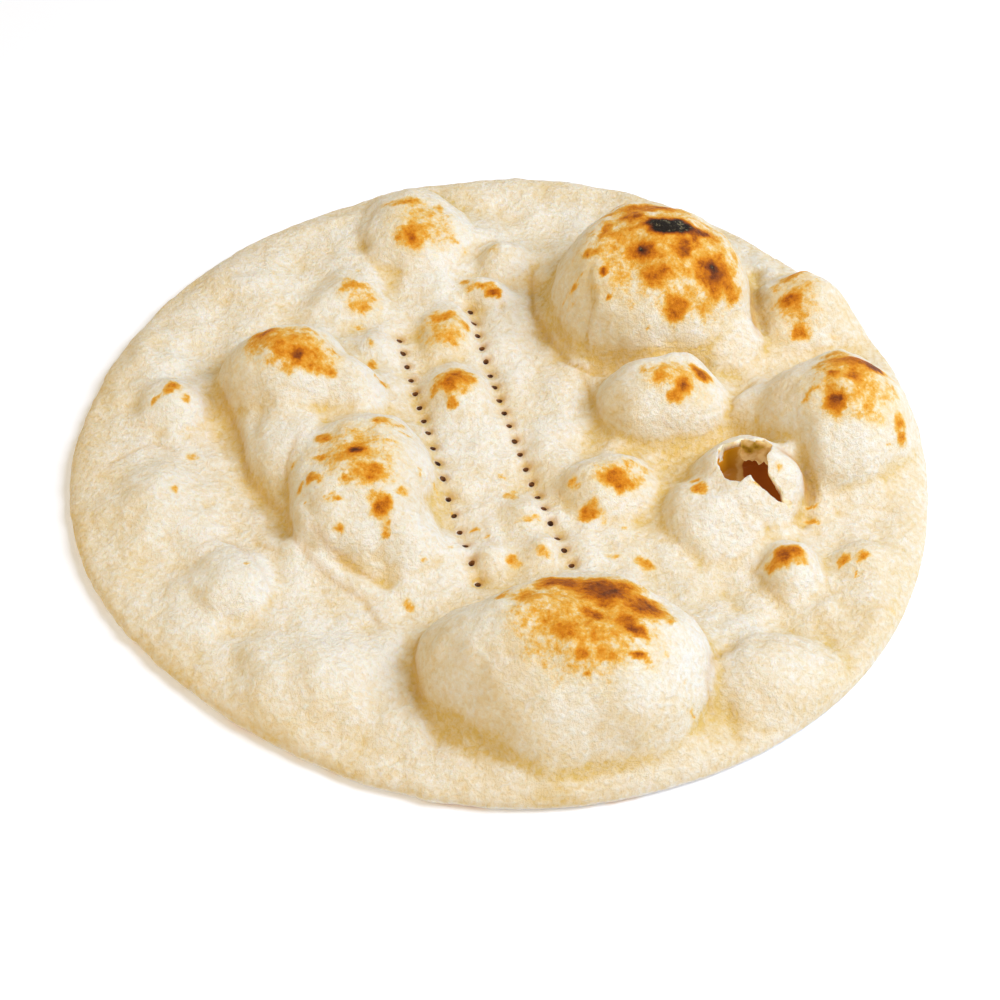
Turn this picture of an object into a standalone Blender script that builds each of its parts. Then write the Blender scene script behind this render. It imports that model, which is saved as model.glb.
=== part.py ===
"""Naan bread: a round flatbread, stretched thin by hand, pricked in two rows and baked until it blisters.

The bread is one solid, in metres with +Z up. Its flat underside lies on the plane z = 0 and the middle of
its outline is over the origin. Places and sizes of blisters, creases and holes are written in millimetres
on the sheet of dough as it was before it puffed, with +X to the right and +Y to the back.
"""

import math
from collections import namedtuple

import bmesh
import bpy
import numpy as np
from mathutils import Vector, noise

MM = 0.001

# Driving dimensions of the sheet
BREAD_RADIUS = 166.5 * MM
SHEET_THICKNESS = 9.0 * MM
THINNEST_SHEET = 5.5 * MM
EDGE_HEIGHT = 3.6 * MM
EDGE_ROUND = 13.0 * MM
EDGE_TUCK = 3.0 * MM
BLISTER_EDGE_FADE = 13.0 * MM

# The hand-stretched outline: number of lobes, height of a lobe, direction of the first lobe in degrees
OUTLINE_LOBES = ((2, 1.7 * MM, -38), (3, 2.2 * MM, -53), (4, 1.0 * MM, 4), (6, 0.8 * MM, 20))

OUTLINE_SAMPLES = 7200

# Uneven stretching of the sheet: spacing of the swells, their height, and which part of the noise they use
SHEET_SWELLS = ((42 * MM, 4.0 * MM, 3.1), (19 * MM, 2.6 * MM, 7.4), (10 * MM, 1.5 * MM, 5.2))
# Blisters are no true ellipses: how far their feet wander, and over what length
OUTLINE_WANDER = 3.2 * MM
WANDER_LENGTH = 26 * MM
WANDER_LAYERS = (11.3, 17.9)

# A blister: middle and half sizes in mm, turn in degrees, rise over the sheet in mm, and how crisp it is,
# from 0 for a soft swelling to 1 for a full bubble with steep sides
Blister = namedtuple("Blister", "x y half_length half_width turn rise crisp")
BLISTERS = {
    "great dome": Blister(63, 80, 42, 41, 0, 43, 1.0),
    "great dome front lobe": Blister(47, 67, 22, 22, 20, 20, 0.9),
    "great dome right lobe": Blister(90, 61, 18, 24, 10, 17, 0.8),
    "bubble before the great dome": Blister(64, 21, 26, 22, 0, 22, 0.9),
    "back right bubble": Blister(128, 76, 23, 24, 30, 17, 0.6),
    "right dome": Blister(132, 8, 33, 33, -12, 32, 0.9),
    "right dome shoulder": Blister(106, 15, 16, 14, 0, 13, 0.7),
    "front dome": Blister(28, -118, 49, 41, 0, 40, 1.0),
    "front dome left lobe": Blister(-3, -113, 27, 27, -20, 29, 0.9),
    "left back dome": Blister(-85, 34, 27, 26, -20, 27, 0.85),
    "left back dome shoulder": Blister(-63, 27, 19, 17, -30, 16, 0.8),
    "left ridge": Blister(-82, 1, 36, 19, -62, 14, 0.7),
    "saddle behind the left middle dome": Blister(-62, 12, 24, 20, 0, 9, 0.4),
    "left middle dome": Blister(-54, -24, 28, 39, -8, 23, 0.9),
    "left middle dome slope": Blister(-39, -42, 17, 27, 22, 15, 0.7),
    "back bubble": Blister(-36, 126, 25, 27, 0, 13, 0.8),
    "back left bubble": Blister(-60, 85, 17, 20, 15, 7, 0.5),
    "middle left bump": Blister(-50, 61, 13, 13, 0, 5, 0.4),
    "strip back bump": Blister(-20, 66, 14, 16, 0, 8, 0.6),
    "strip middle bump": Blister(-16, 31, 12, 18, 10, 8, 0.6),
    "strip ridge": Blister(-5, 89, 12, 6, -28, 5, 0.6),
    "round bump": Blister(2, 107, 11, 12, 0, 8, 0.7),
    "torn blister": Blister(97, -22, 23, 24, 0, 18, 0.9),
    "bubble before the torn blister": Blister(82, -39, 21, 20, 0, 14, 0.8),
    "middle right bump": Blister(44, -22, 20, 16, 0, 10, 0.7),
    "right front bump": Blister(109, -65, 13, 15, 0, 10, 0.7),
    "right edge bump": Blister(136, -61, 11, 10, 0, 5, 0.6),
    "front right bubble": Blister(100, -117, 26, 21, 20, 10, 0.7),
    "right edge swelling": Blister(139, -89, 22, 20, -40, 5, 0.2),
    "left edge bump": Blister(-129, 21, 14, 15, 0, 8, 0.7),
    "left low swelling": Blister(-132, -31, 26, 29, 20, 6, 0.3),
    "left front bubble": Blister(-99, -71, 17, 16, 0, 9, 0.7),
    "front left swelling": Blister(-67, -117, 35, 28, 0, 8, 0.3),
    "far left swelling": Blister(-104, 91, 20, 17, 30, 4, 0.2),
    "small right bump": Blister(122, -85, 7, 6, 0, 3, 0.4),
    "strip front bump": Blister(9, -34, 9, 9, 0, 4, 0.4),
    "strip left crumb": Blister(-1, -60, 8, 8, 0, 3, 0.4),
    "strip right crumb": Blister(17, -54, 9, 8, 0, 3, 0.4),
}
# How round a crisp bubble's sides are, and the apron of stretched dough round its foot: how far it reaches
# from the middle of the bubble, and how high it would be there, as shares of the bubble's own sizes
BUBBLE_ROUNDNESS = 0.55
APRON_REACH = 1.35
APRON_RISE = 0.6
# How sharply neighbouring blisters meet: the higher, the deeper the valley between them
BLISTER_MEETING = 5.0

# A crease or ditch: the points that it runs through in mm, its depth and half width in mm
Crease = namedtuple("Crease", "points depth half_width")
CREASES = {
    "left foot of the great dome": Crease(((16, 90), (17, 66), (25, 51), (39, 42)), 3.5, 5),
    "great dome against the bubble before it": Crease(((39, 42), (52, 39), (67, 43), (82, 41)), 3, 3),
    "great dome against the back right bubble": Crease(((107, 99), (105, 83), (106, 63)), 4, 3),
    "right dome against the torn blister": Crease(((104, -2), (115, -8), (119, -22), (116, -38)), 6, 3),
    "left foot of the front dome": Crease(((-29, -115), (-27, -130), (-21, -140), (-10, -149)), 4, 4),
    "fold of the left middle dome": Crease(((-75, -39), (-66, -56), (-52, -66), (-42, -71)), 2, 3),
    "foot of the left ridge": Crease(((-114, 28), (-106, 0), (-92, -28), (-80, -48)), 2, 4),
}

# Two rows of prick holes, made with a spiked roller: start, middle and end of a row in mm, number of holes
PrickRow = namedtuple("PrickRow", "start middle end count")
PRICK_ROWS = (
    PrickRow((-41, 63), (-26, 0), (-8, -69), 17),
    PrickRow((-12, 80), (5, 9), (27, -63), 20),
)
PRICK_DEPTH = 3.5 * MM
PRICK_TIP_RADIUS = 0.33 * MM
PRICK_TOP_RADIUS = 1.76 * MM
PRICK_SIDES = 6
PRICK_GROOVE_DEPTH = 2.2 * MM
PRICK_GROOVE_HALF_WIDTH = 4.5 * MM

# The torn blister: skin thickness, floor of the hollow over the underside, and the ragged edge of the tear
SKIN = 2.0 * MM
HOLLOW_FLOOR = 5.0 * MM
HOLLOW_FLOOR_DIP = 3.0 * MM
HOLLOW_DRAW_IN = 0.12
HOLLOW_LUMPS = 0.12
HOLLOW_LUMP_RATE = 2.3
TEAR_EDGE = (
    (84, -15), (86, -12), (90, -13), (94, -11), (98, -12), (102, -11), (105, -13), (104, -18), (102, -22),
    (102, -28), (105, -32), (107, -33), (108, -35), (111, -35), (113, -38), (109, -37), (105, -37), (101, -36),
    (98, -34), (95, -31), (91, -33), (88, -32), (85, -29), (83, -22),
)
TEAR_BOTTOM = 14 * MM
TEAR_TOP = 45 * MM
# A height well over the bread, from which its skin is looked for
OVER_THE_BREAD = 200 * MM

# How finely the dough is built, and how many triangles are kept
GRID_CELLS = 190
EVENING = 0.7
EVENING_ROUNDS = 12
SOFTENING_ROUNDS = 3
EDGE_ROWS = 5
KEPT_TRIANGLES = 8800

CRUST_COLOR = (0.86, 0.76, 0.55, 1.0)
CRUST_ROUGHNESS = 0.75


def smooth_step(value):
    """Rise smoothly from 0 to 1 as value goes from 0 to 1."""
    t = np.clip(value, 0.0, 1.0)
    return t * t * (3.0 - 2.0 * t)


def waviness(x, y, length, layer):
    """Smooth noise between about -1 and 1 whose bumps are length apart."""
    places = zip((x / length).flat, (y / length).flat)
    return np.array([noise.noise(Vector((px, py, layer))) for px, py in places]).reshape(x.shape)


def outline_radius(angle):
    """Distance from the outline's own pole to the edge of the bread in a direction."""
    radius = np.full_like(angle, BREAD_RADIUS)
    for lobes, height, direction in OUTLINE_LOBES:
        radius += height * np.cos(lobes * (angle - math.radians(direction)))
    return radius


def outline_pole():
    """Where the outline's radii start, so that the middle of its box is over the origin."""
    angle = np.linspace(0.0, 2 * math.pi, OUTLINE_SAMPLES)
    x, y = outline_radius(angle) * np.cos(angle), outline_radius(angle) * np.sin(angle)
    return -(x.min() + x.max()) / 2, -(y.min() + y.max()) / 2


def blister_rise(x, y, blister):
    """Rise of the skin over one blister, from nothing at its foot."""
    turn = math.radians(blister.turn)
    from_x, from_y = x - blister.x * MM, y - blister.y * MM
    along = (from_x * math.cos(turn) + from_y * math.sin(turn)) / (blister.half_length * MM)
    across = (from_y * math.cos(turn) - from_x * math.sin(turn)) / (blister.half_width * MM)
    reach = np.hypot(along, across)
    inside = np.maximum(1.0 - reach**2, 0.0)
    bubble = blister.crisp * inside**BUBBLE_ROUNDNESS + (1.0 - blister.crisp) * inside**2
    apron = np.maximum(1.0 - (reach / APRON_REACH) ** 2, 0.0) ** 2 * APRON_RISE
    return blister.rise * (bubble**BLISTER_MEETING + apron**BLISTER_MEETING) ** (1.0 / BLISTER_MEETING)


def distance_to_path(x, y, points):
    """Distance from each place on the sheet to a path through points given in millimetres."""
    nearest = np.full_like(x, np.inf)
    for (x0, y0), (x1, y1) in zip(points, points[1:]):
        run_x, run_y = (x1 - x0) * MM, (y1 - y0) * MM
        share = ((x - x0 * MM) * run_x + (y - y0 * MM) * run_y) / (run_x**2 + run_y**2)
        share = np.clip(share, 0.0, 1.0)
        nearest = np.minimum(nearest, np.hypot(x - x0 * MM - share * run_x, y - y0 * MM - share * run_y))
    return nearest


def prick_places(row):
    """Evenly spaced places along a gently bent row of prick holes."""
    (x0, y0), (x1, y1), (x2, y2) = row.start, row.middle, row.end
    for share in np.linspace(0.0, 1.0, row.count):
        first, second = (1 - share) * (1 - 2 * share), 4 * share * (1 - share)
        third = share * (2 * share - 1)
        yield (first * x0 + second * x1 + third * x2) * MM, (first * y0 + second * y1 + third * y2) * MM


def dough_height(x, y, swells, wander):
    """Height of the top of the baked bread at each place, given its unevenness there."""
    pole_x, pole_y = outline_pole()
    from_pole_x, from_pole_y = x - pole_x, y - pole_y
    edge = outline_radius(np.arctan2(from_pole_y, from_pole_x))
    from_edge = np.maximum(edge - np.hypot(from_pole_x, from_pole_y), 0.0)
    edge_roll = np.sqrt(1.0 - np.clip(1.0 - from_edge / EDGE_ROUND, 0.0, 1.0) ** 2)
    sheet = EDGE_HEIGHT + (SHEET_THICKNESS - EDGE_HEIGHT) * edge_roll
    fade = smooth_step(from_edge / BLISTER_EDGE_FADE)

    # The highest blister rules where they meet
    ruled = np.zeros_like(x)
    for blister in BLISTERS.values():
        ruled += blister_rise(x + wander[0], y + wander[1], blister) ** BLISTER_MEETING
    blister_fade = np.sqrt(1.0 - np.clip(1.0 - from_edge / BLISTER_EDGE_FADE, 0.0, 1.0) ** 2)
    lift = MM * ruled ** (1.0 / BLISTER_MEETING) * blister_fade + swells * fade

    for crease in CREASES.values():
        near = distance_to_path(x, y, crease.points) / (crease.half_width * MM)
        lift -= crease.depth * MM * np.exp(-near**2) * fade
    for row in PRICK_ROWS:
        near = distance_to_path(x, y, (row.start, row.middle, row.end)) / PRICK_GROOVE_HALF_WIDTH
        lift -= PRICK_GROOVE_DEPTH * np.exp(-near**2)
    return np.maximum(sheet + lift, EDGE_HEIGHT + (THINNEST_SHEET - EDGE_HEIGHT) * fade)


def even_out(x, y, height):
    """Slide the inner points of a grid along the surface, towards where its cells are stretched."""
    step = [np.diff(values, axis=axis) for axis in (0, 1) for values in (x, y, height)]
    length_0 = np.sqrt(step[0] ** 2 + step[1] ** 2 + step[2] ** 2)
    length_1 = np.sqrt(step[3] ** 2 + step[4] ** 2 + step[5] ** 2)
    pulls = (length_0[:-1, 1:-1], length_0[1:, 1:-1], length_1[1:-1, :-1], length_1[1:-1, 1:])
    for values in (x, y):
        sides = (values[:-2, 1:-1], values[2:, 1:-1], values[1:-1, :-2], values[1:-1, 2:])
        drawn = sum(pull * side for pull, side in zip(pulls, sides)) / sum(pulls)
        values[1:-1, 1:-1] += EVENING * (drawn - values[1:-1, 1:-1])


def puffed_dough(x, y):
    """Where each point of a grid on the flat dough disc ends up on the top of the baked bread."""
    swells = sum(height * waviness(x, y, length, layer) for length, height, layer in SHEET_SWELLS)
    wander = [OUTLINE_WANDER * waviness(x, y, WANDER_LENGTH, layer) for layer in WANDER_LAYERS]
    x, y = x.copy(), y.copy()
    for _ in range(EVENING_ROUNDS):
        even_out(x, y, dough_height(x, y, swells, wander))
    height = dough_height(x, y, swells, wander)
    for _ in range(SOFTENING_ROUNDS):
        for values in (x, y, height):
            around = values[:-2, 1:-1] + values[2:, 1:-1] + values[1:-1, :-2] + values[1:-1, 2:]
            values[1:-1, 1:-1] = (values[1:-1, 1:-1] + around / 4) / 2
    return x, y, height


def square_to_disc(u, v):
    """Bend a square of -1 to 1 into a disc without bunching its corners."""
    return u * np.sqrt(1.0 - v * v / 2.0), v * np.sqrt(1.0 - u * u / 2.0)


def make_dough():
    """The closed body of the bread: puffed top, rounded edge and flat underside."""
    bm = bmesh.new()
    bmesh.ops.create_grid(bm, x_segments=GRID_CELLS, y_segments=GRID_CELLS, size=1.0)
    rows = GRID_CELLS + 1
    places = np.array([vert.co[:2] for vert in bm.verts]).reshape(rows, rows, 2)
    x, y = square_to_disc(places[..., 0], places[..., 1])
    edge = outline_radius(np.arctan2(y, x))
    pole_x, pole_y = outline_pole()
    top = np.stack(puffed_dough(pole_x + x * edge, pole_y + y * edge), axis=-1).reshape(-1, 3)
    for vert, place in zip(bm.verts, top):
        vert.co = place

    # The edge curls under in a few rows, and one face closes the underside
    rim = [item for item in bm.edges if item.is_boundary]
    for row in range(1, EDGE_ROWS + 1):
        roll = row / EDGE_ROWS * math.pi / 2
        inset = EDGE_TUCK * (math.cos((row - 1) / EDGE_ROWS * math.pi / 2) - math.cos(roll))
        made = bmesh.ops.extrude_edge_only(bm, edges=rim)["geom"]
        rim = [item for item in made if isinstance(item, bmesh.types.BMEdge)]
        for vert in (item for item in made if isinstance(item, bmesh.types.BMVert)):
            inwards = Vector((vert.co.x, vert.co.y, 0.0)).normalized() * inset
            vert.co = (vert.co.x - inwards.x, vert.co.y - inwards.y, EDGE_HEIGHT * (1.0 - math.sin(roll)))
    bmesh.ops.contextual_create(bm, geom=rim)
    bmesh.ops.recalc_face_normals(bm, faces=bm.faces)

    mesh = bpy.data.meshes.new("naan")
    bm.to_mesh(mesh)
    bm.free()
    return bpy.data.objects.new("naan", mesh)


def crust_material():
    """Baked white-flour crust."""
    material = bpy.data.materials.new("baked crust")
    material.use_nodes = True
    shader = material.node_tree.nodes["Principled BSDF"]
    shader.inputs["Base Color"].default_value = CRUST_COLOR
    shader.inputs["Roughness"].default_value = CRUST_ROUGHNESS
    shader.inputs["Metallic"].default_value = 0.0
    return material


def make_hollow(dough):
    """The air space inside the torn blister, a lumpy bubble that follows the skin from beneath."""
    torn = BLISTERS["torn blister"]
    bm = bmesh.new()
    bmesh.ops.create_icosphere(bm, subdivisions=3, radius=1.0)
    for vert in bm.verts:
        reach = 1.0 + HOLLOW_LUMPS * noise.noise(vert.co * HOLLOW_LUMP_RATE)
        x = (torn.x + vert.co.x * reach * torn.half_length) * MM
        y = (torn.y + vert.co.y * reach * torn.half_width) * MM
        hit, skin, normal, index = dough.ray_cast(Vector((x, y, OVER_THE_BREAD)), Vector((0, 0, -1)))
        middle = HOLLOW_FLOOR + HOLLOW_FLOOR_DIP
        roof = max(skin.z - SKIN, middle + HOLLOW_FLOOR_DIP)
        vert.co = Vector((x, y, middle + vert.co.z * (roof - middle if vert.co.z > 0 else HOLLOW_FLOOR_DIP)))
    for vert in bm.verts:
        vert.co.x += (torn.x * MM - vert.co.x) * HOLLOW_DRAW_IN
        vert.co.y += (torn.y * MM - vert.co.y) * HOLLOW_DRAW_IN
    return mesh_object("torn blister hollow", bm)


def make_tear():
    """The ragged opening in the skin of the torn blister, cut straight down."""
    bm = bmesh.new()
    rim = [bm.verts.new((x * MM, y * MM, TEAR_BOTTOM)) for x, y in TEAR_EDGE]
    bottom = bm.faces.new(rim)
    made = bmesh.ops.extrude_face_region(bm, geom=[bottom])["geom"]
    raised = [item for item in made if isinstance(item, bmesh.types.BMVert)]
    bmesh.ops.translate(bm, vec=(0, 0, TEAR_TOP - TEAR_BOTTOM), verts=raised)
    bmesh.ops.recalc_face_normals(bm, faces=bm.faces)
    return mesh_object("tear", bm)


def make_pricks(dough):
    """The spikes of the roller, one pointed pin for each prick hole."""
    bm = bmesh.new()
    for row in PRICK_ROWS:
        for x, y in prick_places(row):
            hit, place, normal, index = dough.ray_cast(Vector((x, y, OVER_THE_BREAD)), Vector((0, 0, -1)))
            made = bmesh.ops.create_cone(
                bm, cap_ends=True, segments=PRICK_SIDES, radius1=PRICK_TIP_RADIUS, radius2=PRICK_TOP_RADIUS,
                depth=2 * PRICK_DEPTH,
            )
            bmesh.ops.translate(bm, vec=place, verts=made["verts"])
    return mesh_object("roller pins", bm)


def mesh_object(name, bm):
    """Turn a finished bmesh into an object."""
    mesh = bpy.data.meshes.new(name)
    bm.to_mesh(mesh)
    bm.free()
    return bpy.data.objects.new(name, mesh)


def cut(body, cutter, collection):
    """Take the cutter's shape out of the body."""
    collection.objects.link(cutter)
    cutter.hide_render = True
    cutter.display_type = "WIRE"
    modifier = body.modifiers.new(cutter.name, "BOOLEAN")
    modifier.operation = "DIFFERENCE"
    modifier.solver = "MANIFOLD"
    modifier.object = cutter


def build():
    """Clear the scene and make the bread."""
    for item in list(bpy.data.objects):
        bpy.data.objects.remove(item)
    bread = bpy.data.collections.new("naan bread")
    cutters = bpy.data.collections.new("cutters")
    bpy.context.scene.collection.children.link(bread)
    bpy.context.scene.collection.children.link(cutters)

    naan = make_dough()
    bread.objects.link(naan)
    naan.data.materials.append(crust_material())
    naan.data.shade_smooth()
    bpy.context.view_layer.update()
    triangles = sum(len(face.vertices) - 2 for face in naan.data.polygons)
    thinning = naan.modifiers.new("fewer facets", "DECIMATE")
    thinning.ratio = KEPT_TRIANGLES / triangles
    pins = make_pricks(naan)
    cut(naan, make_hollow(naan), cutters)
    cut(naan, make_tear(), cutters)
    cut(naan, pins, cutters)


build()
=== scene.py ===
"""The looks of a naan bread: a floury crust that blistered, toasted and tore in the oven."""

import math
from collections import namedtuple

import bmesh
import bpy
import numpy as np
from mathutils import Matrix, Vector, noise


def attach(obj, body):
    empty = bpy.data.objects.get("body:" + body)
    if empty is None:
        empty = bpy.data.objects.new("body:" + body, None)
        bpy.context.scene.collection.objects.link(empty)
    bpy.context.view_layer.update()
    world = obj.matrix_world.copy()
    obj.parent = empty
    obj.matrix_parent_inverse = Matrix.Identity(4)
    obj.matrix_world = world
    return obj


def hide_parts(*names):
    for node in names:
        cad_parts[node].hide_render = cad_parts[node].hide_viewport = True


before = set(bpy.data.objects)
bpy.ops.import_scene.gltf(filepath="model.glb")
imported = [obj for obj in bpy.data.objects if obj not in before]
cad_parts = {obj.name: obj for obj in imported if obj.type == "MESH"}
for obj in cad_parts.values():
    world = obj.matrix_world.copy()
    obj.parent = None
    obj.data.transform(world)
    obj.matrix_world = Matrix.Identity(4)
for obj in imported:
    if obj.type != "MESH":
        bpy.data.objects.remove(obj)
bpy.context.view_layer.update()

# Sheet of dough
# The bread starts as a ball of soft wheat dough, stretched by hand to a round sheet about a centimetre
# thick, so its outline is a little lobed, its edge is rolled thin, and its thickness swells and dips.
MM = 0.001
BREAD_RADIUS = 166.5 * MM
SHEET_THICKNESS = 9.0 * MM
THINNEST_SHEET = 5.5 * MM
EDGE_HEIGHT = 3.6 * MM
EDGE_ROUND = 13.0 * MM
EDGE_TUCK = 3.0 * MM
EDGE_ROWS = 5
OUTLINE_LOBES = ((2, 1.7 * MM, -38), (3, 2.2 * MM, -53), (4, 1.0 * MM, 4), (6, 0.8 * MM, 20))
OUTLINE_SAMPLES = 7200
SHEET_SWELLS = ((42 * MM, 4.0 * MM, 3.1), (19 * MM, 2.6 * MM, 7.4), (10 * MM, 1.5 * MM, 5.2))
TOP_CELLS = 270
UNDERSIDE_CELLS = 90
EVENING = 0.7
EVENING_ROUNDS = 24
SOFTENING_ROUNDS = 3


def smooth_step(value):
    """Rise smoothly from 0 to 1 as value goes from 0 to 1."""
    t = np.clip(value, 0.0, 1.0)
    return t * t * (3.0 - 2.0 * t)


def noise_at(places, length, layer):
    """Smooth noise between about -1 and 1 at each place, with bumps a given length apart."""
    scaled = (places / length + layer).reshape(-1, 3)
    return np.array([noise.noise(Vector(place)) for place in scaled]).reshape(places.shape[:-1])


def waviness(x, y, length, layer):
    """Smooth noise over the flat sheet."""
    flat = np.stack((x / length, y / length, np.full_like(x, layer)), axis=-1)
    return noise_at(flat, 1.0, 0.0)


def outline_radius(angle):
    """Distance from the outline's own pole to the edge of the bread in a direction."""
    radius = np.full_like(angle, BREAD_RADIUS)
    for lobes, height, direction in OUTLINE_LOBES:
        radius += height * np.cos(lobes * (angle - math.radians(direction)))
    return radius


def outline_pole():
    """Where the outline's radii start, so that the middle of its box is over the origin."""
    angle = np.linspace(0.0, 2 * math.pi, OUTLINE_SAMPLES)
    x, y = outline_radius(angle) * np.cos(angle), outline_radius(angle) * np.sin(angle)
    return -(x.min() + x.max()) / 2, -(y.min() + y.max()) / 2


def square_to_disc(u, v):
    """Bend a square of -1 to 1 into a disc without bunching its corners."""
    return u * np.sqrt(1.0 - v * v / 2.0), v * np.sqrt(1.0 - u * u / 2.0)


# Blisters
# Steam from the wet dough lifts the skin off the crumb in the first minute of baking. The big blisters are
# nearly round with a wide apron of stretched skin, and the small ones stay low swellings.
OUTLINE_WANDER = 3.2 * MM
WANDER_LENGTH = 26 * MM
WANDER_LAYERS = (11.3, 17.9)
BLISTER_EDGE_FADE = 13.0 * MM
BUBBLE_ROUNDNESS = 0.55
APRON_REACH = 1.35
APRON_RISE = 0.6
BLISTER_MEETING = 5.0
FOOT_DEPTH = 0.9
FOOT_CRISPNESS = 4
FOOT_HALF_WIDTH = 1.8 * MM
FOOT_PATCHES = 24 * MM
FOOT_LAYER = 27.3
FOOT_PINCH = 0.4
FOOT_PINCH_CHANGE = 1.5
FOOT_COVER = 2.0
Blister = namedtuple("Blister", "x y half_length half_width turn rise crisp")
BLISTERS = {
    "great dome": Blister(63, 80, 42, 41, 0, 43, 1.0),
    "great dome front lobe": Blister(47, 67, 22, 22, 20, 20, 0.9),
    "great dome right lobe": Blister(90, 61, 18, 24, 10, 17, 0.8),
    "bubble before the great dome": Blister(64, 21, 26, 22, 0, 22, 0.9),
    "back right bubble": Blister(128, 76, 23, 24, 30, 17, 0.6),
    "right dome": Blister(132, 8, 33, 33, -12, 32, 0.9),
    "right dome shoulder": Blister(106, 15, 16, 14, 0, 13, 0.7),
    "front dome": Blister(28, -118, 49, 41, 0, 40, 1.0),
    "front dome left lobe": Blister(-3, -113, 27, 27, -20, 29, 0.9),
    "left back dome": Blister(-85, 34, 27, 26, -20, 27, 0.85),
    "left back dome shoulder": Blister(-63, 27, 19, 17, -30, 16, 0.8),
    "left ridge": Blister(-82, 1, 36, 19, -62, 14, 0.7),
    "saddle behind the left middle dome": Blister(-62, 12, 24, 20, 0, 9, 0.4),
    "left middle dome": Blister(-54, -24, 28, 39, -8, 23, 0.9),
    "left middle dome slope": Blister(-39, -42, 17, 27, 22, 15, 0.7),
    "back bubble": Blister(-36, 126, 25, 27, 0, 13, 0.8),
    "back left bubble": Blister(-60, 85, 17, 20, 15, 7, 0.5),
    "middle left bump": Blister(-50, 61, 13, 13, 0, 5, 0.4),
    "strip back bump": Blister(-20, 66, 14, 16, 0, 8, 0.6),
    "strip middle bump": Blister(-16, 31, 12, 18, 10, 8, 0.6),
    "strip ridge": Blister(-5, 89, 12, 6, -28, 5, 0.6),
    "round bump": Blister(2, 107, 11, 12, 0, 8, 0.7),
    "torn blister": Blister(97, -22, 23, 24, 0, 18, 0.9),
    "bubble before the torn blister": Blister(82, -39, 21, 20, 0, 14, 0.8),
    "middle right bump": Blister(44, -22, 20, 16, 0, 10, 0.7),
    "right front bump": Blister(109, -65, 13, 15, 0, 10, 0.7),
    "right edge bump": Blister(136, -61, 11, 10, 0, 5, 0.6),
    "front right bubble": Blister(100, -117, 26, 21, 20, 10, 0.7),
    "right edge swelling": Blister(139, -89, 22, 20, -40, 5, 0.2),
    "left edge bump": Blister(-129, 21, 14, 15, 0, 8, 0.7),
    "left low swelling": Blister(-132, -31, 26, 29, 20, 6, 0.3),
    "left front bubble": Blister(-99, -71, 17, 16, 0, 9, 0.7),
    "front left swelling": Blister(-67, -117, 35, 28, 0, 8, 0.3),
    "far left swelling": Blister(-104, 91, 20, 17, 30, 4, 0.2),
    "small right bump": Blister(122, -85, 7, 6, 0, 3, 0.4),
    "strip front bump": Blister(9, -34, 9, 9, 0, 4, 0.4),
    "strip left crumb": Blister(-1, -60, 8, 8, 0, 3, 0.4),
    "strip right crumb": Blister(17, -54, 9, 8, 0, 3, 0.4),
}


def blister_rise(x, y, blister):
    """Rise of the skin over one blister in millimetres, and how close each place is to its pinched foot."""
    turn = math.radians(blister.turn)
    from_x, from_y = x - blister.x * MM, y - blister.y * MM
    along = (from_x * math.cos(turn) + from_y * math.sin(turn)) / (blister.half_length * MM)
    across = (from_y * math.cos(turn) - from_x * math.sin(turn)) / (blister.half_width * MM)
    reach = np.hypot(along, across)
    inside = np.maximum(1.0 - reach**2, 0.0)
    bubble = blister.crisp * inside**BUBBLE_ROUNDNESS + (1.0 - blister.crisp) * inside**2
    apron = np.maximum(1.0 - (reach / APRON_REACH) ** 2, 0.0) ** 2 * APRON_RISE
    rise = blister.rise * (bubble**BLISTER_MEETING + apron**BLISTER_MEETING) ** (1.0 / BLISTER_MEETING)
    from_foot = (reach - 1.0) * min(blister.half_length, blister.half_width) * MM / FOOT_HALF_WIDTH
    return rise, blister.crisp**FOOT_CRISPNESS * np.exp(-from_foot**2)


# Creases and folds
# The skin is pinched where two blisters meet, and puckers in fine folds where it was stretched or sank again
# as it cooled. A lip is skin that stands over the fold along its left, or with a minus along its right, and
# a fold with a minus for its depth is a wrinkle that stands up. All of these sizes are in millimetres.
Crease = namedtuple("Crease", "points depth half_width")
CREASES = {
    "left foot of the great dome": Crease(((16, 90), (17, 66), (25, 51), (39, 42)), 3.5, 5),
    "great dome against the bubble before it": Crease(((39, 42), (52, 39), (67, 43), (82, 41)), 3, 3),
    "great dome against the back right bubble": Crease(((107, 99), (105, 83), (106, 63)), 4, 3),
    "right dome against the torn blister": Crease(((104, -2), (115, -8), (119, -22), (116, -38)), 6, 3),
    "left foot of the front dome": Crease(((-29, -115), (-27, -130), (-21, -140), (-10, -149)), 2.5, 4),
    "fold of the left middle dome": Crease(((-75, -39), (-66, -56), (-52, -66), (-42, -71)), 2, 3),
    "foot of the left ridge": Crease(((-114, 28), (-106, 0), (-92, -28), (-80, -48)), 2, 4),
}
# Each fold's tint is a painted shade in gold, strongest just before its lip, on the low side
FAINT_SHADE_TINT = 0.15
Fold = namedtuple("Fold", "points depth half_width lip tint", defaults=(FAINT_SHADE_TINT,))
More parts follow.
